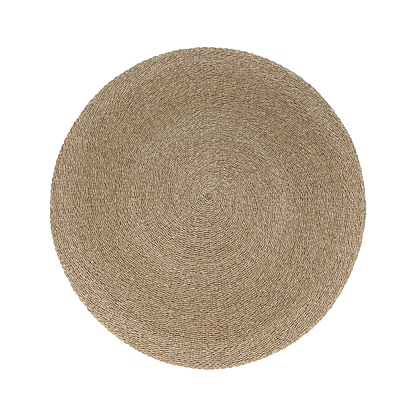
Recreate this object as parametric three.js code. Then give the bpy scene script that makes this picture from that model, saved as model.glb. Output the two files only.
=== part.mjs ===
// A round rug of twined plant-fibre cord, lying flat on the floor.
// Its rows run in one spiral, counterclockwise and outwards, from an eye that sits off the middle.
// The ends of its warps are turned back and plaited into a low rolled rim, which is part of the same cloth.
// Millimetres, +Z up. The underside is on Z = 0 and the origin is under the middle of the outline's box.

import * as THREE from "three";

// Driving dimensions
const MEAN_RADIUS = 750;
const EYE_FROM_CENTRE = new THREE.Vector2(4, 55);
const ROW_THICKNESS = 10;
const GROOVE_DEPTH = 2.5;
const TURNS = 88;
const RIM_WIDTH = 14;
const RIM_THICKNESS = 12;
const RIM_LUMPS = 192;
const LUMP_HEIGHT = 1;
const NOTCH_DEPTH = 2.4;

// Where the rolled rim is highest and widest, and how far its underside draws in
const RIM_CREST_INSET = 7;
const RIM_WAIST_HEIGHT = 6;
const RIM_FOOT_INSET = 3.5;

// The notches between the lumps vary by this part of their depth, and come round again after so many
const NOTCH_UNEVENNESS = 0.3;
const NOTCH_BEAT = 5.2;

// The outline is pulled by hand: waves round the rim, by how many go round, how high and how far turned
const OUTLINE_WAVES = [
  { count: 2, height: 7.0, turnDegrees: 170 },
  { count: 3, height: 2.6, turnDegrees: -124 },
  { count: 4, height: 1.6, turnDegrees: -48 },
  { count: 5, height: 0.8, turnDegrees: 153 },
  { count: 6, height: 0.7, turnDegrees: -95 },
  { count: 7, height: 0.8, turnDegrees: -29 },
];

// How many straight steps each turn of the spiral has, from the eye out to the last turn given
const TURN_FACETS = [
  { lastTurn: 2, steps: 8 },
  { lastTurn: 8, steps: 14 },
  { lastTurn: 26, steps: 22 },
  { lastTurn: TURNS, steps: 28 },
];
const FOOT_STEPS = 96;
const UNDERSIDE_STEPS = 11;
const UNDERSIDE_SHARE = 0.5;

// Colour of the cord
const CORD_COLOUR = 0xa08c71;

const FULL_TURN = 2 * Math.PI;
const FIELD_SHARE = 1 - RIM_WIDTH / MEAN_RADIUS;

const vertices = [];
const triangles = [];

function outlineRadius(angle) {
  return OUTLINE_WAVES.reduce(
    (radius, wave) =>
      radius + wave.height * Math.cos(wave.count * angle + THREE.MathUtils.degToRad(wave.turnDegrees)),
    MEAN_RADIUS,
  );
}

// A point of the plan: share is 0 at the eye and 1 on the outline, and inset is how far inside that it lies.
function addPoint(share, angle, height, inset = 0) {
  const radius = share * outlineRadius(angle) - inset;
  vertices.push(
    (1 - share) * EYE_FROM_CENTRE.x + radius * Math.cos(angle),
    (1 - share) * EYE_FROM_CENTRE.y + radius * Math.sin(angle),
    height,
  );
  return { index: vertices.length / 3 - 1, angle };
}

function addTriangle(a, b, c, facesDown = false) {
  if (facesDown) triangles.push(a.index, c.index, b.index);
  else triangles.push(a.index, b.index, c.index);
}

// Fills the strip between two lines of points that both run counterclockwise, by their angles.
function addStrip(inner, outer, facesDown = false) {
  let i = 0;
  let j = 0;
  while (i < inner.length - 1 || j < outer.length - 1) {
    const innerNext = i < inner.length - 1 ? inner[i + 1].angle : Infinity;
    const outerNext = j < outer.length - 1 ? outer[j + 1].angle : Infinity;
    if (innerNext <= outerNext) {
      addTriangle(inner[i], outer[j], inner[i + 1], facesDown);
      i += 1;
    } else {
      addTriangle(inner[i], outer[j], outer[j + 1], facesDown);
      j += 1;
    }
  }
}

// The same points, read some turns later or earlier.
function turned(points, turns) {
  return points.map((point) => ({ index: point.index, angle: point.angle + turns * FULL_TURN }));
}

// A ring that ends on the point it starts from.
function closed(ring) {
  return [...ring, ...turned([ring[0]], 1)];
}

// A level ring of points a share of the way out, half a step off the start of the spiral.
function addRing(steps, share, heightAt, insetAt) {
  return Array.from({ length: steps }, (_, k) =>
    addPoint(share, ((k + 0.5) * FULL_TURN) / steps, heightAt(k), insetAt(k)),
  );
}

// The crest and the groove of the rows, from the eye to the rim
function spiralAngles() {
  const angles = [0];
  let firstTurn = 0;
  for (const band of TURN_FACETS) {
    const count = (band.lastTurn - firstTurn) * band.steps;
    for (let k = 1; k <= count; k += 1) angles.push((firstTurn + k / band.steps) * FULL_TURN);
    firstTurn = band.lastTurn;
  }
  return angles;
}

function addRows() {
  const angles = spiralAngles();
  const shareAt = (turns) => (FIELD_SHARE * turns) / TURNS;
  const crest = angles.map((angle) => addPoint(shareAt(angle / FULL_TURN), angle, ROW_THICKNESS));
  const groove = angles
    .slice(1, -1)
    .map((angle) => addPoint(shareAt(angle / FULL_TURN + 0.5), angle, ROW_THICKNESS - GROOVE_DEPTH));
  const firstTurn = TURN_FACETS[0].steps;
  const lastTurn = TURN_FACETS[TURN_FACETS.length - 1].steps;

  // The eye is a small level round inside the first turn.
  for (let k = 1; k < firstTurn; k += 1) addTriangle(crest[0], crest[k], crest[k + 1]);
  addTriangle(crest[0], crest[firstTurn], groove[0]);

  // Each row falls from its crest to its groove, and rises from there to the crest of the next row.
  addStrip(crest, groove);
  addStrip(turned(groove.slice(0, groove.length + 1 - lastTurn), 1), crest.slice(firstTurn));

  // What the rim has to meet: the last groove, and the end of the last row.
  return turned([...groove.slice(groove.length - lastTurn), crest[crest.length - 1]], 1 - TURNS);
}

// The rolled rim, with a lump for each warp that is turned back and a notch after it
function addRim(rowsEdge) {
  const steps = 2 * RIM_LUMPS;
  const notchAt = (k) =>
    (k % 2) * (1 - NOTCH_UNEVENNESS + NOTCH_UNEVENNESS * Math.sin((k * FULL_TURN) / (2 * NOTCH_BEAT)));
  const crest = addRing(
    steps,
    1,
    (k) => RIM_THICKNESS - LUMP_HEIGHT * notchAt(k),
    () => RIM_CREST_INSET,
  );
  const waist = addRing(
    steps,
    1,
    () => RIM_WAIST_HEIGHT,
    (k) => NOTCH_DEPTH * notchAt(k),
  );
  const foot = addRing(
    FOOT_STEPS,
    1,
    () => 0,
    () => RIM_FOOT_INSET,
  );

  const rowsEnd = { index: rowsEdge[0].index, angle: FULL_TURN + FULL_TURN / steps };
  addStrip([...rowsEdge, rowsEnd], closed(crest));
  addStrip(closed(crest), closed(waist));
  addStrip(closed(foot), closed(waist), true);
  return foot;
}

// The flat underside: a ring round the foot of the rim, and a plain middle
function addUnderside(foot) {
  const middle = addRing(
    UNDERSIDE_STEPS,
    UNDERSIDE_SHARE,
    () => 0,
    () => 0,
  );
  addStrip(closed(middle), closed(foot), true);
  for (let k = 1; k < UNDERSIDE_STEPS - 1; k += 1) addTriangle(middle[0], middle[k], middle[k + 1], true);
}

function makeRug() {
  addUnderside(addRim(addRows()));
  const geometry = new THREE.BufferGeometry();
  geometry.setAttribute("position", new THREE.Float32BufferAttribute(vertices, 3));
  geometry.setIndex(triangles);
  geometry.computeVertexNormals();
  geometry.computeBoundingBox();
  const middle = geometry.boundingBox.getCenter(new THREE.Vector3());

  const material = new THREE.MeshStandardMaterial({
    color: CORD_COLOUR,
    roughness: 0.9,
    metalness: 0,
    flatShading: true,
  });
  const mesh = new THREE.Mesh(geometry, material);
  mesh.name = "rug";
  mesh.position.set(-middle.x, -middle.y, 0);
  return mesh;
}

const group = new THREE.Group();
group.add(makeRug());

export default group;
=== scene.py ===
# A round rug of twined plant-fibre cord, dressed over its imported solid.
# Pairs of cords are twined round radial warps in one spiral, and each of their stitches is real geometry.

import math

import bpy
import numpy as np
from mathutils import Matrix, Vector


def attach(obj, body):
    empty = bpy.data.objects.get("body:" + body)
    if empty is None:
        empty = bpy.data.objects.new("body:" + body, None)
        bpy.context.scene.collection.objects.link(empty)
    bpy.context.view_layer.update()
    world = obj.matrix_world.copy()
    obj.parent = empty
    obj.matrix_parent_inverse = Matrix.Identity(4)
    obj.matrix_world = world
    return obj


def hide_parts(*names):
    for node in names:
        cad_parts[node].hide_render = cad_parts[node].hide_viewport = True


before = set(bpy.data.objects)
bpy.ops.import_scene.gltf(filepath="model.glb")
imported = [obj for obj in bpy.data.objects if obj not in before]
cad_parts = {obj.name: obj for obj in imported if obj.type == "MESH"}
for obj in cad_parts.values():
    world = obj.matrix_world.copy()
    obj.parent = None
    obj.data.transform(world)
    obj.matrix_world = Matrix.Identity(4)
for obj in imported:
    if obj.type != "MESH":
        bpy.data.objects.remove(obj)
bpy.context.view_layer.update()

FULL_TURN = 2 * math.pi
MILLIMETRE = 0.001
SEED = 1811
random = np.random.default_rng(SEED)

# Lengths are in millimetres, unless a comment says metres

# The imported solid's own dimensions, but for the eye, which is moved by 3 mm
MEAN_RADIUS = 750.0
EYE_FROM_CENTRE = (3.0, 58.0)
TURNS = 88
RIM_WIDTH = 14.0

# The outline is pulled by hand in waves that go round the rug
OUTLINE_WAVES = (
    # how many go round, height, how far turned in degrees
    (2, 7.0, 170),
    (3, 2.6, -124),
    (4, 1.6, -48),
    (5, 0.8, 153),
    (6, 0.7, -95),
    (7, 0.8, -29),
)
OUTLINE_STEPS = 1440

# Rows wander a little in and out, which grows over some turns from the eye and from the rim
ROW_WAVES = (
    # rows a wave, how many go round, height, phase
    (9.0, 1, 0.35, 0.4),
    (14.0, 2, 0.50, 2.1),
    (23.0, 3, 0.60, 4.0),
    (6.5, 4, 0.20, 5.2),
)
WANDER_TURNS_FROM_EYE = 12
WANDER_TURNS_FROM_RIM = 8

# Twining: the middle of the cords, and how far each swings to the sides, up and down
STITCH_LENGTH = 24.5
TWINING_HEIGHT = 5.2
CORD_SWING = 2.2
CORD_RISE = 2.9
LIFT_SHARPNESS = 0.75
CORD_HALF_WIDTH = 2.85
CORD_WIDENING = 0.4
CORD_HALF_HEIGHT = 2.2
CORD_FLATTENING = 0.2
CORD_SIDES = 6
BANDS = 5
WEFT_START_TURN = 0.5
WEFT_END_TURN = TURNS + 0.45

# Steps of a cord along two stitches: three pass under a warp and five over the next
UNDER_STEPS = (-0.5, -0.17, 0.17)
OVER_STEPS = (0.5, 0.7, 0.9, 1.1, 1.3)

# How open a cord is to the light, from 0 to 1: at its flanks, and where it passes through the cloth. There
# its flanks have a share of the openness. Where a cord is less open, its colour is mixed towards a painted
# shade.
FLANK_OPENNESS = 0.2
CROSSING_OPENNESS = 0.62
CROSSING_FLANK_SHARE = 0.5

# What differs from stitch to stitch of a cord: size is a share, and slide is in stitches
STITCH_SPREADS = {
    # what: spread, limit
    "size": (0.05, 0.12),
    "shift": (0.3, 0.6),
    "slide": (0.06, 0.1),
    "rise": (0.15, 0.3),
}

# How far both cords of a row stray across together, how far they slide along it in stitches, and over how
# many stitches such a wave goes
ROW_STRAY = 0.2
ROW_SLIDE = 0.08
ROW_STRAY_STITCHES = 7

# Near the eye the cords swing and stray less: the turn from which they are free, and how free the first are
FREE_TURN = 9
LEAST_FREEDOM = 0.7

# A small knot closes the eye
KNOT_HALF_LENGTH = 5.5
KNOT_HEIGHT = 6.0
KNOT_HALF_WIDTH = 4.6
KNOT_HALF_HEIGHT = 3.2
KNOT_TAPER = 0.95
KNOT_STEPS = 9

# Warps: one more joins where a gap is so many stitches wide, at some place near its middle. With each turn
# they all move a part of the way to the middle of their neighbours.
FIRST_WARPS = 5
FIRST_WARPS_SPREAD = 0.01
FIRST_SPLIT_TURN = 3
SPLIT_STITCHES = (1.2, 1.6)
SPLIT_PLACES = (0.42, 0.58)
EVENING_OUT = 0.1
WARP_HALF_WIDTH = 1.9
WARP_HALF_HEIGHT = 1.4
WARP_SIDES = 6
WARP_TURNS_A_STEP = 2

# Where warps begin and end, in rows: off the eye, before the first row crossed, and after the last row
WARP_FROM_EYE = 0.05
WARP_BEFORE = 0.45
WARP_AFTER = 0.4

# Each warp is turned back over the next one at the rim
RIM_PATH = (
    # pitches on, inset from the outline, height, half width
    (-0.15, 11.0, 3.6, 2.6),
    (0.00, 5.2, 3.2, 3.4),
    (0.25, 3.4, 4.4, 4.2),
    (0.55, 3.8, 7.2, 4.5),
    (0.85, 6.2, 9.0, 4.5),
    (1.15, 10.6, 8.4, 3.9),
    (1.40, 15.0, 5.2, 2.8),
)
RIM_STEPS_A_POINT = 2
RIM_HALF_HEIGHT = 2.4
RIM_SIDES = 8
RIM_SIZE_SPREAD = 0.05
RIM_HEIGHT_SPREAD = 0.12
# The rim's cords are at least this open to the light, so they get less painted shade
RIM_LEAST_OPENNESS = 0.6

# How far the rim's cords stray in and out: each by itself, and with its neighbours
RIM_STRAY = 0.7
RIM_WAVE = 1.0

# A core of the same cord lies under them all the way round
RIM_CORE_INSET = 9.0
RIM_CORE_HEIGHT = 5.2
RIM_CORE_HALF_WIDTH = 5.0
RIM_CORE_HALF_HEIGHT = 3.2
RIM_CORE_STEPS = 384

# The ground between the rows is a thin dark layer in the middle of the cloth. It is painted shade: it stands
# for the shaded lower cords and warps seen in the gaps.
GROUND_LOW = 2.0
GROUND_HIGH = 3.8
GROUND_INSET = 6.0
GROUND_SHARES = (0.25, 0.5, 0.75, 1.0)
GROUND_STEPS = 120

# The cloth's tone, where 0 is the cord's middle colour and more is paler
TONE_BY_TURN = (
    # turn, tone
    (0, -0.1),
    (0.9, -0.05),
    (1.0, -0.14),
    (1.9, -0.14),
    (2.0, 0.12),
    (2.8, 0.12),
    (3.1, 0.07),
    (7, 0.07),
    (12, 0.02),
    (19, 0.015),
    (29, -0.01),
    (37, 0.0),
    (42.5, 0.045),
    (47, -0.01),
    (51, -0.035),
    (61, -0.055),
    (67, -0.035),
    (72, -0.045),
    (75, -0.03),
    (78, 0.04),
    (81, 0.07),
    (88, 0.065),
)

# The tone also leans towards some sides
TONE_WAVES = (
    # how many go round, height, where the crest is in degrees
    (1, 0.05, 262),
    (3, 0.025, 105),
)

# The cloth's hue, where 1 is warm and -1 cool. Darker cord is warmer, and so are some turns and one side.
HUE_BY_TONE = -2.0
HUE_BY_TURN = (
    # turn, hue
    (0, 0.4),
    (6, 0.0),
    (10, 0.12),
    (19, -0.1),
    (29, 0.12),
    (42, -0.1),
    (50, 0.03),
    (72, 0.03),
    (75, 0.2),
    (88, 0.22),
)
HUE_LEAN = 0.22
HUE_LEAN_DEGREES = 252

# The turn from which such leans are full, and how much of them there is at the eye
FULL_LEAN_TURN = 40
LEAST_LEAN = 0.3

# How tone and hue vary: with each new length of cord, about every so many stitches, and with each stitch
SPLICE_STITCHES = 12
SPLICE_TONE = 0.02
SPLICE_HUE = 0.4
STITCH_TONE = 0.02
STITCH_HUE = 0.35
WARP_TONE_SPREAD = 0.03
WARP_HUE_SPREAD = 0.3

# The rim's cords beside the cloth there: how much darker and cooler they are, and how they vary
RIM_TONE = -0.15
RIM_TONE_SPREAD = 0.05
RIM_HUE = -1.0
RIM_HUE_SPREAD = 0.35

# Maps: each ring of faces has a cell for baking with a margin, and so has each end of a cord, as a small
# round. The fibres of a cord start anywhere in so many metres.
MAP_MARGIN = 0.06
MAP_END_RADIUS = 0.3
MAP_GROUND_WIDTH = 2.2 * MEAN_RADIUS
FARTHEST_START = 50

# The cords' looks: colours in steps of 0 to 255, and the pitch of the plies in metres. The deep brown is
# painted shade, which a cord takes where it is less open to the light.
WEFT_CORD = {
    "dark": (112, 84, 48),
    "middle": (184, 163, 133),
    "pale": (236, 223, 206),
    "painted_shade": (68, 42, 14),
    "ply_pitch": 0.023,
    "roughness": 0.72,
}
WARP_CORD = {
    "dark": (100, 76, 46),
    "middle": (165, 143, 113),
    "pale": (210, 192, 168),
    "painted_shade": (76, 50, 24),
    "ply_pitch": 0.012,
    "roughness": 0.77,
}
# The ground's colour is all painted shade: it is nowhere open to the light, so only its deep brown shows
GROUND_PAINTED_SHADE = {
    "dark": (48, 32, 18),
    "middle": (70, 48, 28),
    "pale": (92, 66, 42),
    "painted_shade": (64, 43, 24),
    "ply_pitch": 0.02,
    "roughness": 0.92,
}
COOL_TINT = (240, 248, 255)
WARM_TINT = (255, 244, 228)

# Fibres and patches: how many there are to a metre of cord and round it, and how much tone each gives.
# Their mean is then set back to the cord's middle colour.
FIBRES_ALONG = 90.0
FIBRES_AROUND = 26.0
FIBRE_DETAIL = 3.0
FIBRE_ROUGHNESS = 0.65
FIBRE_TONE = 0.5
PATCHES_ALONG = 130.0
PATCHES_AROUND = 1.5
PATCH_DETAIL = 2.0
PATCH_TONE = 1.2
MEAN_ABOVE_MIDDLE = (FIBRE_TONE + PATCH_TONE) / 2 - 0.5

# Plies: how narrow the groove between them is, how open to the light it is, and how much more open their
# crests are.
# The groove gets more painted shade than the crests.
PLY_SHARPNESS = 0.6
GROOVE_OPEN = 0.4
CREST_MORE_OPEN = 0.7

# Gloss, and relief with its depth in metres
FIBRE_GLOSS = 0.25
SPECULAR = 0.12
PLY_RELIEF = 0.6
FIBRE_RELIEF = 0.4
RELIEF_STRENGTH = 0.7
RELIEF_DEPTH = 0.0008

# Floor and light, in metres and watts
FLOOR_RADIUS = 9.0
FLOOR_SIDES = 96
FLOOR_DROP = 0.0005
FLOOR_COLOUR = (0.93, 0.93, 0.93, 1)
FLOOR_ROUGHNESS = 0.9
SKY_COLOUR = (1, 1, 1, 1)
SKY_STRENGTH = 0.85
KEY_PLACE = (-0.5, -1.7, 3.7)
KEY_WIDTH = 2.0
KEY_POWER = 130

# The camera looks straight down. Its frame is a square at the rim's height, and its reach is in metres.
CAMERA_HEIGHT = 4000.0
CAMERA_FROM_CENTRE = (0.0, -1.0)
CAMERA_REACH = 100
SENSOR_WIDTH = 36
FRAME_WIDTH = 1960.0
FRAME_LEVEL = 6.0

# How the picture is finished: the pixel filter's width, and how much its light is sharpened
FILTER_WIDTH = 1.94
EYE_GAMMA = 2.2
SHARPENING = 0.44


# Places on the rug
def outline_radius(angle):
    return MEAN_RADIUS + sum(
        height * np.cos(count * angle + math.radians(turn)) for count, height, turn in OUTLINE_WAVES
    )


def outline_middle():
    """The middle of the outline's box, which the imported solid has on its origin."""
    angle = np.linspace(0, FULL_TURN, OUTLINE_STEPS)
    x = outline_radius(angle) * np.cos(angle)
    y = outline_radius(angle) * np.sin(angle)
    return (x.min() + x.max()) / 2, (y.min() + y.max()) / 2


MIDDLE = outline_middle()
ROW_SHARE = (1 - RIM_WIDTH / MEAN_RADIUS) / TURNS
ROW_PITCH = ROW_SHARE * MEAN_RADIUS


def place(share, angle, height, inset=0.0):
    """A point: share is 0 at the eye and 1 on the outline, and inset is how far inside that it lies."""
    radius = share * outline_radius(angle) - inset
    x = (1 - share) * EYE_FROM_CENTRE[0] + radius * np.cos(angle) - MIDDLE[0]
    y = (1 - share) * EYE_FROM_CENTRE[1] + radius * np.sin(angle) - MIDDLE[1]
    return np.stack([x, y, np.broadcast_to(height, x.shape)], axis=-1)


def wander(turns):
    """How far the rows stray outwards there, which dies out at the eye and at the rim."""
    held = np.minimum(turns / WANDER_TURNS_FROM_EYE, (TURNS - turns) / WANDER_TURNS_FROM_RIM)
    return np.clip(held, 0, 1) * sum(
        height * np.sin(FULL_TURN * (turns / rows + count * turns) + phase)
        for rows, count, height, phase in ROW_WAVES
    )


def on_row(turns, across, height):
    """A point by how many turns along the spiral it is, and how far across its row, outwards."""
    share = ROW_SHARE * turns + (across + wander(turns)) / MEAN_RADIUS
    return place(share, FULL_TURN * turns, height)


def freedom(turns):
    """How freely the cords swing and stray there."""
    return np.clip(turns / FREE_TURN, LEAST_FREEDOM, 1)


# Tone and hue
def by_turn(table, turns):
    """What a table of turns and values has there."""
    at, values = np.transpose(table)
    return np.interp(turns, at, values)


def leaning(turns):
    """How far a lean to one side of the rug is at work there."""
    return np.clip(turns / FULL_LEAN_TURN, LEAST_LEAN, 1)


def cloth_tone(turns):
    waves = sum(
        height * np.cos(count * (FULL_TURN * turns - math.radians(crest)))
        for count, height, crest in TONE_WAVES
    )
    return by_turn(TONE_BY_TURN, turns) + leaning(turns) * waves


def cloth_hue(turns):
    lean = HUE_LEAN * np.cos(FULL_TURN * turns - math.radians(HUE_LEAN_DEGREES))
    ring = by_turn(HUE_BY_TURN, turns) + HUE_BY_TONE * by_turn(TONE_BY_TURN, turns)
    return ring + leaning(turns) * lean


def splices(count, spread):
    """One value for each stitch of a cord, which changes where a new length of cord is laid in."""
    new_cord = random.random(count) < 1 / SPLICE_STITCHES
    values = random.normal(0, spread, count)
    return values[np.maximum.accumulate(np.where(new_cord, np.arange(count), 0))]


# Meshes of cords
class Cord:
    """One cord: its rings of points, where they are along it, and its tone, hue and openness to the light,
    which sets how much painted shade its colour gets.

    Lift is 1 where only its upper side is in the open, -1 where only its lower side is, and 0 where both are.
    """

    def __init__(self, path, half_width, half_height, sides, tone, hue, lift):
        ahead = np.gradient(path, axis=0)
        ahead /= np.linalg.norm(ahead, axis=1, keepdims=True)
        left = np.cross((0.0, 0.0, 1.0), ahead)
        left /= np.linalg.norm(left, axis=1, keepdims=True)
        over = np.cross(ahead, left)
        angle = np.arange(sides) * FULL_TURN / sides - FULL_TURN / 4
        reach_left = np.multiply.outer(half_width, np.cos(angle))[..., None]
        reach_over = np.multiply.outer(half_height, np.sin(angle))[..., None]
        self.rings = path[:, None] + left[:, None] * reach_left + over[:, None] * reach_over
        self.tone = tone
        self.hue = hue

        facing = np.abs(np.sin(angle))
        crossing = CROSSING_OPENNESS * (CROSSING_FLANK_SHARE + (1 - CROSSING_FLANK_SHARE) * facing)
        outer = np.multiply.outer(lift, np.sin(angle)) + np.multiply.outer(1 - np.abs(lift), crossing)
        self.openness = np.clip(FLANK_OPENNESS + (1 - FLANK_OPENNESS) * outer, 0, 1)

        steps = np.linalg.norm(np.diff(path, axis=0), axis=1)
        start = random.uniform(0, FARTHEST_START)
        self.length = start + np.concatenate([[0], np.cumsum(steps)]) * MILLIMETRE


def new_mesh(name, points, faces, material):
    """A mesh object from arrays: points, and faces as a list of arrays with equal rows."""
    mesh = bpy.data.meshes.new(name)
    sizes = np.concatenate([np.full(len(group), group.shape[1]) for group in faces])
    corners = np.concatenate([group.ravel() for group in faces])
    mesh.vertices.add(len(points))
    mesh.vertices.foreach_set("co", (points * MILLIMETRE).ravel())
    mesh.loops.add(len(corners))
    mesh.loops.foreach_set("vertex_index", corners)
    mesh.polygons.add(len(sizes))
    mesh.polygons.foreach_set("loop_start", np.cumsum(sizes) - sizes)
    mesh.polygons.foreach_set("use_smooth", sizes == 4)
    mesh.update(calc_edges=True)
    mesh.materials.append(material)
    piece = bpy.data.objects.new(name, mesh)
    bpy.context.collection.objects.link(piece)
    return piece


def add_facts(piece, tone, hue, openness):
    """Stores what the materials read at each point."""
    facts = piece.data.attributes.new("facts", "FLOAT_COLOR", "POINT")
    values = np.stack([tone, hue, openness, np.ones_like(tone)], axis=-1)
    facts.data.foreach_set("color", values.ravel())


def add_map(piece, name, places):
    layer = piece.data.uv_layers.new(name=name)
    layer.uv.foreach_set("vector", places.ravel())


def tube_faces(rings, sides, first=0):
    """The corners of a tube's faces, by number, for its walls, ring by ring, and for its two ends."""
    number = first + np.arange(rings * sides).reshape(rings, sides)
    after = np.roll(number, -1, axis=1)
    walls = np.stack([number[:-1], after[:-1], after[1:], number[1:]], axis=-1).reshape(-1, 4)
    return walls, np.stack([number[0][::-1], number[-1]])


def corners_around(sides):
    """How far round a tube the corners of each of its faces are, from 0 to 1."""
    side = np.arange(sides)
    return np.stack([side, side + 1, side + 1, side], axis=-1) / sides


def strand_places(cord):
    """Each corner's place along its cord, in metres, and round it, for the walls and the ends."""
    sides = cord.rings.shape[1]
    low, high = cord.length[:-1], cord.length[1:]
    along = np.repeat(np.stack([low, low, high, high], axis=-1)[:, None], sides, axis=1)
    around = np.broadcast_to(corners_around(sides), along.shape)
    walls = np.stack([along, around], axis=-1).reshape(-1, 2)
    ends_along = np.repeat(cord.length[[0, -1]], sides)
    ends_around = np.tile(np.arange(sides) / sides, 2)
    return walls, np.stack([ends_along, ends_around], axis=-1)


def bake_places(cord, first_cell, columns, rows):
    """Each corner's place on a map with a cell for each ring of faces and for each end of a cord."""
    rings, sides = cord.rings.shape[:2]
    cell = first_cell + np.arange(rings - 1)[:, None, None]
    across = (cell % columns + np.array([[0, 0, 1, 1]])) / columns
    around = MAP_MARGIN + (1 - 2 * MAP_MARGIN) * corners_around(sides)
    up = (cell // columns + around) / rows
    walls = np.stack(np.broadcast_arrays(across, up), axis=-1).reshape(-1, 2)

    end_cell = first_cell + rings - 1 + np.arange(2)
    middle = np.stack([end_cell % columns, end_cell // columns], axis=-1) + 0.5
    angle = np.arange(sides) * FULL_TURN / sides
    ring = np.stack([np.cos(angle), np.sin(angle)], axis=-1)
    ends = (middle[:, None] + MAP_END_RADIUS * ring) / (columns, rows)
    return walls, ends.reshape(-1, 2)


def walls_then_ends(pairs):
    """Joins pairs of arrays for each cord's walls and ends: all the walls, and then all the ends."""
    return [np.concatenate(group) for group in zip(*pairs)]


def add_cords(name, cords, material):
    """Joins cords in one piece, with one map along and round each cord, and one for baking."""
    sides = cords[0].rings.shape[1]
    cells = sum(len(cord.rings) + 1 for cord in cords)
    stretch = np.mean([np.diff(cord.length).mean() for cord in cords]) / MILLIMETRE
    girth = FULL_TURN * CORD_HALF_WIDTH
    map_rows = math.ceil(math.sqrt(cells * stretch / girth))
    map_columns = math.ceil(cells / map_rows)

    faces, strand, bake = [], [], []
    first_point = 0
    first_cell = 0
    for cord in cords:
        rings = len(cord.rings)
        faces.append(tube_faces(rings, sides, first_point))
        strand.append(strand_places(cord))
        bake.append(bake_places(cord, first_cell, map_columns, map_rows))
        first_point += rings * sides
        first_cell += rings + 1

    points = np.concatenate([cord.rings.reshape(-1, 3) for cord in cords])
    piece = new_mesh(name, points, walls_then_ends(faces), material)
    add_map(piece, "strand", np.concatenate(walls_then_ends(strand)))
    add_map(piece, "OFBake", np.concatenate(walls_then_ends(bake)))
    add_facts(
        piece,
        np.concatenate([np.repeat(cord.tone, sides) for cord in cords]),
        np.concatenate([np.repeat(cord.hue, sides) for cord in cords]),
        np.concatenate([cord.openness.ravel() for cord in cords]),
    )
    return piece


# Warps
def warp_rows():
    """The warps that each turn of the spiral crosses, by number and by place in the turn."""
    numbers = np.arange(FIRST_WARPS)
    places = numbers / FIRST_WARPS + random.normal(0, FIRST_WARPS_SPREAD, FIRST_WARPS)
    limits = random.uniform(*SPLIT_STITCHES, FIRST_WARPS)
    rows = []
    for turn in range(TURNS + 1):
        gaps = np.diff(np.append(places, places[0] + 1))
        lengths = gaps * FULL_TURN * ROW_PITCH * (turn + 0.5)
        wide = np.flatnonzero((lengths > STITCH_LENGTH * limits) & (turn >= FIRST_SPLIT_TURN))
        added = places[wide] + gaps[wide] * random.uniform(*SPLIT_PLACES, len(wide))
        new_numbers = numbers.max() + 1 + np.arange(len(wide))
        limits[wide] = random.uniform(*SPLIT_STITCHES, len(wide))
        places = np.insert(places, wide + 1, added)
        numbers = np.insert(numbers, wide + 1, new_numbers)
        limits = np.insert(limits, wide + 1, random.uniform(*SPLIT_STITCHES, len(wide)))
        rows.append((numbers, places))
        before = np.append(places[-1] - 1, places[:-1])
        behind = np.append(places[1:], places[0] + 1)
        places = places + EVENING_OUT * ((before + behind) / 2 - places)
    return rows


def warp_path(rows, warp):
    """Where a warp crosses the rows, in turns along the spiral and across the row, from its inner end out."""
    found = [(turn, places[numbers == warp]) for turn, (numbers, places) in enumerate(rows)]
    found = np.array([(turn, there[0]) for turn, there in found if len(there)])
    from_eye = found[0, 0] == 0
    steps = list(range(int(from_eye), len(found) - 1, WARP_TURNS_A_STEP)) + [len(found) - 1]
    turns = found[steps].sum(axis=1)
    turns = np.concatenate([turns[:1], turns, turns[-1:]])
    across = np.zeros(len(turns))
    across[0] = -ROW_PITCH * (turns[0] - WARP_FROM_EYE if from_eye else WARP_BEFORE)
    across[-1] = ROW_PITCH * (TURNS + WARP_AFTER - turns[-1])
    return turns, across


def add_warps(rows, material):
    cords = []
    for warp in range(rows[-1][0].max() + 1):
        turns, across = warp_path(rows, warp)
        size = np.ones(len(turns))
        cords.append(
            Cord(
                on_row(turns, across, TWINING_HEIGHT),
                WARP_HALF_WIDTH * size,
                WARP_HALF_HEIGHT * size,
                WARP_SIDES,
                cloth_tone(turns) + random.normal(0, WARP_TONE_SPREAD),
                cloth_hue(turns) + random.normal(0, WARP_HUE_SPREAD),
                # Neither side is in the open, so the warp has painted shade, as a cord has where it crosses
                0 * turns,
            )
        )
    return add_cords("warps", cords, material)


# Twined cords
def straying(count):
    """A slow random wave along the row, with a value for each stitch that is mostly between -2 and 2."""
    window = np.hanning(ROW_STRAY_STITCHES + 2)
    window /= np.sqrt((window**2).sum())
    return np.convolve(random.normal(0, 1, count), window, "same")


def stitch_facts(stray, slide, free):
    """What differs from stitch to stitch of one cord."""
    count = len(stray)

    def own(what):
        spread, limit = STITCH_SPREADS[what]
        return random.normal(0, spread, count).clip(-limit, limit)

    return {
        "size": own("size"),
        "shift": free * (stray + own("shift")),
        "slide": free * (slide + own("slide")),
        "rise": own("rise"),
        "tone": splices(count, SPLICE_TONE) + random.normal(0, STITCH_TONE, count),
        "hue": splices(count, SPLICE_HUE) + random.normal(0, STITCH_HUE, count),
    }


def cord_steps(start, end):
    """Steps of one cord from under one warp to under another, in stitches."""
    firsts = np.arange(start, end, 2)[:, None]
    steps = (firsts + np.array(UNDER_STEPS + OVER_STEPS)).ravel()[2:]
    last = end + np.array(UNDER_STEPS[:2] + (0.0,))
    return np.concatenate([[start], steps, last])


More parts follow.
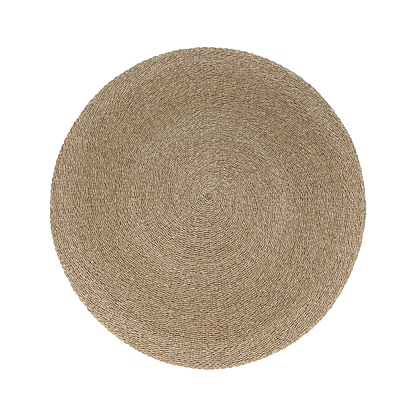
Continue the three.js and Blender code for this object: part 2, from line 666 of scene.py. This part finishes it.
def twined_cord(crossings, start, end, facts):
    """A cord that is under the warps start and end, and over every second warp between them."""
    steps = cord_steps(start, end)
    turns = np.interp(steps, np.arange(len(crossings)), crossings)
    phase = math.pi * (steps - start)
    raised = -np.cos(phase)
    lift = np.sign(raised) * np.abs(raised) ** LIFT_SHARPNESS
    full = np.abs(raised)
    stitch = np.clip(np.round(steps).astype(int), 0, len(crossings) - 1)
    across = CORD_SWING * freedom(turns) * np.sin(phase) + facts["shift"][stitch]
    turns = turns + facts["slide"][stitch] * np.gradient(turns) / np.gradient(steps)
    height = TWINING_HEIGHT + (CORD_RISE + facts["rise"][stitch]) * lift
    return Cord(
        on_row(turns, across, height),
        (CORD_HALF_WIDTH + CORD_WIDENING * full) * (1 + facts["size"][stitch]),
        CORD_HALF_HEIGHT - CORD_FLATTENING * full,
        CORD_SIDES,
        cloth_tone(turns) + facts["tone"][stitch],
        cloth_hue(turns) + facts["hue"][stitch],
        lift,
    )


def eye_knot():
    reach = np.linspace(-1, 1, KNOT_STEPS)
    roundness = np.sqrt(1 - (KNOT_TAPER * reach) ** 2)
    at_eye = np.zeros(KNOT_STEPS)
    return Cord(
        on_row(at_eye, KNOT_HALF_LENGTH * reach, KNOT_HEIGHT),
        KNOT_HALF_WIDTH * roundness,
        KNOT_HALF_HEIGHT * roundness,
        CORD_SIDES,
        cloth_tone(at_eye),
        cloth_hue(at_eye),
        np.ones(KNOT_STEPS),
    )


def add_wefts(rows, material):
    """Two cords from the eye to the rim, in bands that are a piece each. The knot is in the first."""
    crossings = np.concatenate([turn + places for turn, (_, places) in enumerate(rows)])
    crossings = np.sort(crossings[(crossings > WEFT_START_TURN) & (crossings < WEFT_END_TURN)])
    stray = ROW_STRAY * straying(len(crossings))
    slide = ROW_SLIDE * straying(len(crossings))
    facts = [stitch_facts(stray, slide, freedom(crossings)) for _ in range(2)]
    limits = [2 * round(len(crossings) * band / BANDS / 2) for band in range(BANDS + 1)]
    limits[-1] = 2 * ((len(crossings) - 2) // 2)
    bands = []
    for band, (start, end) in enumerate(zip(limits, limits[1:])):
        cords = [twined_cord(crossings, start + odd, end + odd, facts[odd]) for odd in range(2)]
        if band == 0:
            cords.append(eye_knot())
        bands.append(add_cords(f"weft_{band + 1}", cords, material))
    return bands


# Rim
def smooth_path(points, steps):
    """A smooth curve through rows of numbers, with so many steps from each row to the next."""
    points = np.array(points)
    padded = np.vstack([2 * points[0] - points[1], points, 2 * points[-1] - points[-2]])
    curve = []
    for before, start, end, after in zip(padded, padded[1:], padded[2:], padded[3:]):
        for part in np.arange(steps) / steps:
            curve.append(
                start
                + 0.5 * part * (end - before)
                + part**2 * (before - 2.5 * start + 2 * end - 0.5 * after)
                + part**3 * (1.5 * (start - end) + 0.5 * (after - before))
            )
    curve.append(points[-1])
    return np.array(curve)


def rim_core():
    turn = np.linspace(0, 1, RIM_CORE_STEPS + 1)
    size = np.ones(len(turn))
    return Cord(
        place(size, FULL_TURN * turn, RIM_CORE_HEIGHT, RIM_CORE_INSET),
        RIM_CORE_HALF_WIDTH * size,
        RIM_CORE_HALF_HEIGHT * size,
        RIM_SIDES,
        cloth_tone(TURNS + turn) + random.normal(RIM_TONE, STITCH_TONE, len(turn)),
        cloth_hue(TURNS + turn) + random.normal(0, STITCH_HUE, len(turn)),
        size,
    )


def add_rim(rows, material):
    """A short cord for each warp that is turned back over the next, and the core under them."""
    places = rows[-1][1]
    count = len(places)
    around = np.concatenate([places - 1, places, places + 1])
    on, inset, height, half_width = smooth_path(RIM_PATH, RIM_STEPS_A_POINT).T
    stray = RIM_WAVE * straying(count) + random.normal(0, RIM_STRAY, count)
    cords = []
    for number in range(count):
        turn = np.interp(number + count + on, np.arange(3 * count), around)
        all_along = np.ones(len(turn))
        size = 1 + random.normal(0, RIM_SIZE_SPREAD)
        own_height = height + random.normal(0, RIM_HEIGHT_SPREAD)
        cord = Cord(
            place(all_along, FULL_TURN * turn, own_height, inset + stray[number]),
            half_width * size,
            RIM_HALF_HEIGHT * all_along,
            RIM_SIDES,
            cloth_tone(TURNS + turn % 1) + random.normal(RIM_TONE, RIM_TONE_SPREAD),
            cloth_hue(TURNS + turn % 1) + random.normal(RIM_HUE, RIM_HUE_SPREAD),
            all_along,
        )
        # Less painted shade on the rim's cords
        cord.openness = RIM_LEAST_OPENNESS + (1 - RIM_LEAST_OPENNESS) * cord.openness
        cords.append(cord)
    cords.append(rim_core())
    return add_cords("rim", cords, material)


# Ground
def add_shade_ground(material):
    """A closed thin layer inside the outline, whose dark colour is painted shade."""
    angle = np.arange(GROUND_STEPS) * FULL_TURN / GROUND_STEPS

    def ring(share, height):
        return place(np.full(GROUND_STEPS, share), angle, height, GROUND_INSET * share)

    low = [ring(share, GROUND_LOW) for share in GROUND_SHARES]
    top = [ring(share, GROUND_HIGH) for share in reversed(GROUND_SHARES)]
    points = np.concatenate(low + top)
    walls, ends = tube_faces(len(low + top), GROUND_STEPS)
    piece = new_mesh("shade_ground", points, [walls, ends], material)

    # The low faces take the left half of the map for baking, and the top faces the right half
    corners = points[np.concatenate([walls.ravel(), ends.ravel()]), :2]
    top_walls = np.repeat(np.arange(len(low + top) - 1) >= len(low), GROUND_STEPS * walls.shape[1])
    top_ends = np.repeat([False, True], GROUND_STEPS)
    flat = corners / MAP_GROUND_WIDTH + 0.5
    flat[:, 0] = flat[:, 0] / 2 + np.where(np.concatenate([top_walls, top_ends]), 0.5, 0.0)
    add_map(piece, "strand", corners * MILLIMETRE)
    add_map(piece, "OFBake", flat)
    # No openness to the light: the ground is all painted shade
    nothing = np.zeros(len(points))
    add_facts(piece, nothing, nothing, nothing)
    return piece


# Materials
def linear(red, green, blue):
    """A colour in the usual steps of 0 to 255, as a shader wants it."""
    steps = np.array([red, green, blue]) / 255
    values = np.where(steps <= 0.04045, steps / 12.92, ((steps + 0.055) / 1.055) ** 2.4)
    return (*values.tolist(), 1.0)


class Nodes:
    """Adds nodes to a tree. Inputs are given by their names, with _ for a space."""

    def __init__(self, tree):
        self.tree = tree

    def add(self, kind, settings=None, **inputs):
        node = self.tree.nodes.new(kind)
        for name, value in (settings or {}).items():
            setattr(node, name, value)
        for name, value in inputs.items():
            self.give(node, name.replace("_", " "), value)
        return node

    def give(self, node, which, value):
        """Links a socket to an input, which is a name or a number, or sets a value there."""
        socket = node.inputs[which]
        if isinstance(value, bpy.types.NodeSocket):
            self.tree.links.new(value, socket)
        else:
            socket.default_value = value

    def math(self, operation, *values):
        node = self.add("ShaderNodeMath", {"operation": operation})
        for number, value in enumerate(values):
            self.give(node, number, value)
        return node.outputs[0]

    def mix(self, blend, factor, first, second):
        """Mixes two colours. A mixing node has its colours at inputs 6 and 7 and at output 2."""
        node = self.add("ShaderNodeMix", {"data_type": "RGBA", "blend_type": blend})
        for number, value in ((0, factor), (6, first), (7, second)):
            self.give(node, number, value)
        return node.outputs[2]

    def noise(self, x, y, **inputs):
        """Noise from 0 to 1 at a place on the cord."""
        at = self.add("ShaderNodeCombineXYZ", X=x, Y=y)
        settings = {"noise_dimensions": "3D"}
        node = self.add("ShaderNodeTexNoise", settings, Vector=at.outputs[0], Scale=1.0, **inputs)
        return node.outputs["Fac"]


def cord_material(name, dark, middle, pale, painted_shade, ply_pitch, roughness):
    """Plant-fibre cord: plies, fine fibres along them, and painted shade, a deep brown, on its flanks, its
    underside, where it dips inside and in the grooves between the plies.
    """
    material = bpy.data.materials.new(name)
    material.use_nodes = True
    tree = material.node_tree
    tree.nodes.clear()
    nodes = Nodes(tree)

    facts = nodes.add("ShaderNodeAttribute", {"attribute_name": "facts"})
    parts = nodes.add("ShaderNodeSeparateColor", Color=facts.outputs["Color"])
    tone, hue, openness = parts.outputs
    strand = nodes.add("ShaderNodeUVMap", {"uv_map": "strand"})
    on_cord = nodes.add("ShaderNodeSeparateXYZ", Vector=strand.outputs[0])
    length, around, _ = on_cord.outputs

    # The plies wind round the cord, and the fibres run along the plies
    wound = nodes.math("ADD", around, nodes.math("DIVIDE", length, ply_pitch))
    wave = nodes.math("SINE", nodes.math("MULTIPLY", wound, FULL_TURN))
    ply = nodes.math("POWER", nodes.math("ABSOLUTE", wave), PLY_SHARPNESS)
    fibre = nodes.noise(
        nodes.math("MULTIPLY", length, FIBRES_ALONG),
        nodes.math("MULTIPLY", wound, FIBRES_AROUND),
        Detail=FIBRE_DETAIL,
        Roughness=FIBRE_ROUGHNESS,
    )
    patch = nodes.noise(
        nodes.math("MULTIPLY", length, PATCHES_ALONG),
        nodes.math("MULTIPLY", around, PATCHES_AROUND),
        Detail=PATCH_DETAIL,
    )

    # Colour: fibres and patches about the tone of this stretch of cord
    mixed = nodes.math("MULTIPLY_ADD", fibre, FIBRE_TONE, tone)
    mixed = nodes.math("MULTIPLY_ADD", patch, PATCH_TONE, mixed)
    ramp = nodes.add("ShaderNodeValToRGB", Fac=nodes.math("SUBTRACT", mixed, MEAN_ABOVE_MIDDLE))
    ramp.color_ramp.elements[0].color = linear(*dark)
    ramp.color_ramp.elements[1].color = linear(*pale)
    ramp.color_ramp.elements.new(0.5).color = linear(*middle)
    warmth = nodes.math("MULTIPLY_ADD", hue, 0.5, 0.5)
    tint = nodes.mix("MIX", warmth, linear(*COOL_TINT), linear(*WARM_TINT))
    tinted = nodes.mix("MULTIPLY", 1.0, ramp.outputs[0], tint)
    # Painted shade: the colour goes towards the deep brown where the cord is less open to the light, and more
    # so in the grooves between the plies
    ply_open = nodes.math("MULTIPLY_ADD", ply, CREST_MORE_OPEN, GROOVE_OPEN)
    opened = nodes.add(
        "ShaderNodeMapRange",
        {"interpolation_type": "SMOOTHSTEP"},
        Value=nodes.math("MULTIPLY", openness, ply_open),
    )
    shaded = nodes.mix("MIX", opened.outputs[0], linear(*painted_shade), tinted)

    # Finish: dry, a little glossier on the pale fibres, with the plies and fibres standing up
    fibre_relief = nodes.math("MULTIPLY", fibre, FIBRE_RELIEF)
    relief = nodes.math("MULTIPLY_ADD", ply, PLY_RELIEF, fibre_relief)
    bump = nodes.add("ShaderNodeBump", Height=relief, Strength=RELIEF_STRENGTH, Distance=RELIEF_DEPTH)
    shader = nodes.add(
        "ShaderNodeBsdfPrincipled",
        Base_Color=shaded,
        Roughness=nodes.math("MULTIPLY_ADD", fibre, -FIBRE_GLOSS, roughness),
        Specular_IOR_Level=SPECULAR,
        Normal=bump.outputs[0],
    )
    nodes.add("ShaderNodeOutputMaterial", Surface=shader.outputs[0])
    return material


# Floor, light, camera and picture
def make_floor():
    bpy.ops.mesh.primitive_circle_add(
        vertices=FLOOR_SIDES, radius=FLOOR_RADIUS, fill_type="NGON", location=(0, 0, -FLOOR_DROP)
    )
    floor = bpy.context.object
    floor.name = "floor"
    material = bpy.data.materials.new("floor_white")
    material.use_nodes = True
    shader = material.node_tree.nodes["Principled BSDF"]
    shader.inputs["Base Color"].default_value = FLOOR_COLOUR
    shader.inputs["Roughness"].default_value = FLOOR_ROUGHNESS
    floor.data.materials.append(material)


def make_light():
    world = bpy.data.worlds.new("studio")
    bpy.context.scene.world = world
    world.use_nodes = True
    sky = world.node_tree.nodes["Background"]
    sky.inputs["Color"].default_value = SKY_COLOUR
    sky.inputs["Strength"].default_value = SKY_STRENGTH
    data = bpy.data.lights.new("key", "AREA")
    data.shape = "DISK"
    data.size = KEY_WIDTH
    data.energy = KEY_POWER
    key = bpy.data.objects.new("key", data)
    key.location = KEY_PLACE
    key.rotation_mode = "QUATERNION"
    key.rotation_quaternion = Vector(KEY_PLACE).to_track_quat("Z", "Y")
    bpy.context.collection.objects.link(key)


def make_camera():
    data = bpy.data.cameras.new("camera")
    data.sensor_width = SENSOR_WIDTH
    data.lens = data.sensor_width * (CAMERA_HEIGHT - FRAME_LEVEL) / FRAME_WIDTH
    data.clip_end = CAMERA_REACH
    camera = bpy.data.objects.new("camera", data)
    x = CAMERA_FROM_CENTRE[0] - MIDDLE[0]
    y = CAMERA_FROM_CENTRE[1] - MIDDLE[1]
    camera.location = (x * MILLIMETRE, y * MILLIMETRE, CAMERA_HEIGHT * MILLIMETRE)
    bpy.context.collection.objects.link(camera)
    bpy.context.scene.camera = camera


def sharpen_picture():
    """Sharpens the picture's light but not its colour, as the photograph is, in even steps of tone."""
    scene = bpy.context.scene
    scene.use_nodes = True
    scene.node_tree.nodes.clear()
    nodes = Nodes(scene.node_tree)
    split = {"mode": "YCC", "ycc_mode": "JFIF"}
    picture = nodes.add("CompositorNodeRLayers")
    even = nodes.add("CompositorNodeGamma", Image=picture.outputs["Image"], Gamma=1 / EYE_GAMMA)
    parts = nodes.add("CompositorNodeSeparateColor", split, Image=even.outputs[0])
    light, blueness, redness, _ = parts.outputs
    sharpen = {"filter_type": "SHARPEN_DIAMOND"}
    sharp = nodes.add("CompositorNodeFilter", sharpen, Image=light, Fac=SHARPENING)
    joined = nodes.add("CompositorNodeCombineColor", split)
    for channel, value in enumerate((sharp.outputs[0], blueness, redness)):
        nodes.give(joined, channel, value)
    back = nodes.add("CompositorNodeGamma", Image=joined.outputs[0], Gamma=EYE_GAMMA)
    nodes.add("CompositorNodeComposite", Image=back.outputs[0])


make_camera()
sharpen_picture()
make_floor()
make_light()
bpy.context.scene.view_settings.view_transform = "Standard"
bpy.context.scene.cycles.pixel_filter_type = "BLACKMAN_HARRIS"
bpy.context.scene.cycles.filter_width = FILTER_WIDTH
bpy.context.scene.cycles.use_denoising = False

weft_material = cord_material("weft_cord", **WEFT_CORD)
warp_material = cord_material("warp_cord", **WARP_CORD)
ground_material = cord_material("ground_painted_shade", **GROUND_PAINTED_SHADE)

warps_by_turn = warp_rows()
shade_ground = add_shade_ground(ground_material)
warps = add_warps(warps_by_turn, warp_material)
wefts = add_wefts(warps_by_turn, weft_material)
rim = add_rim(warps_by_turn, weft_material)

for piece in (shade_ground, warps, rim, *wefts):
    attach(piece, "root")
    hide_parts("rug")
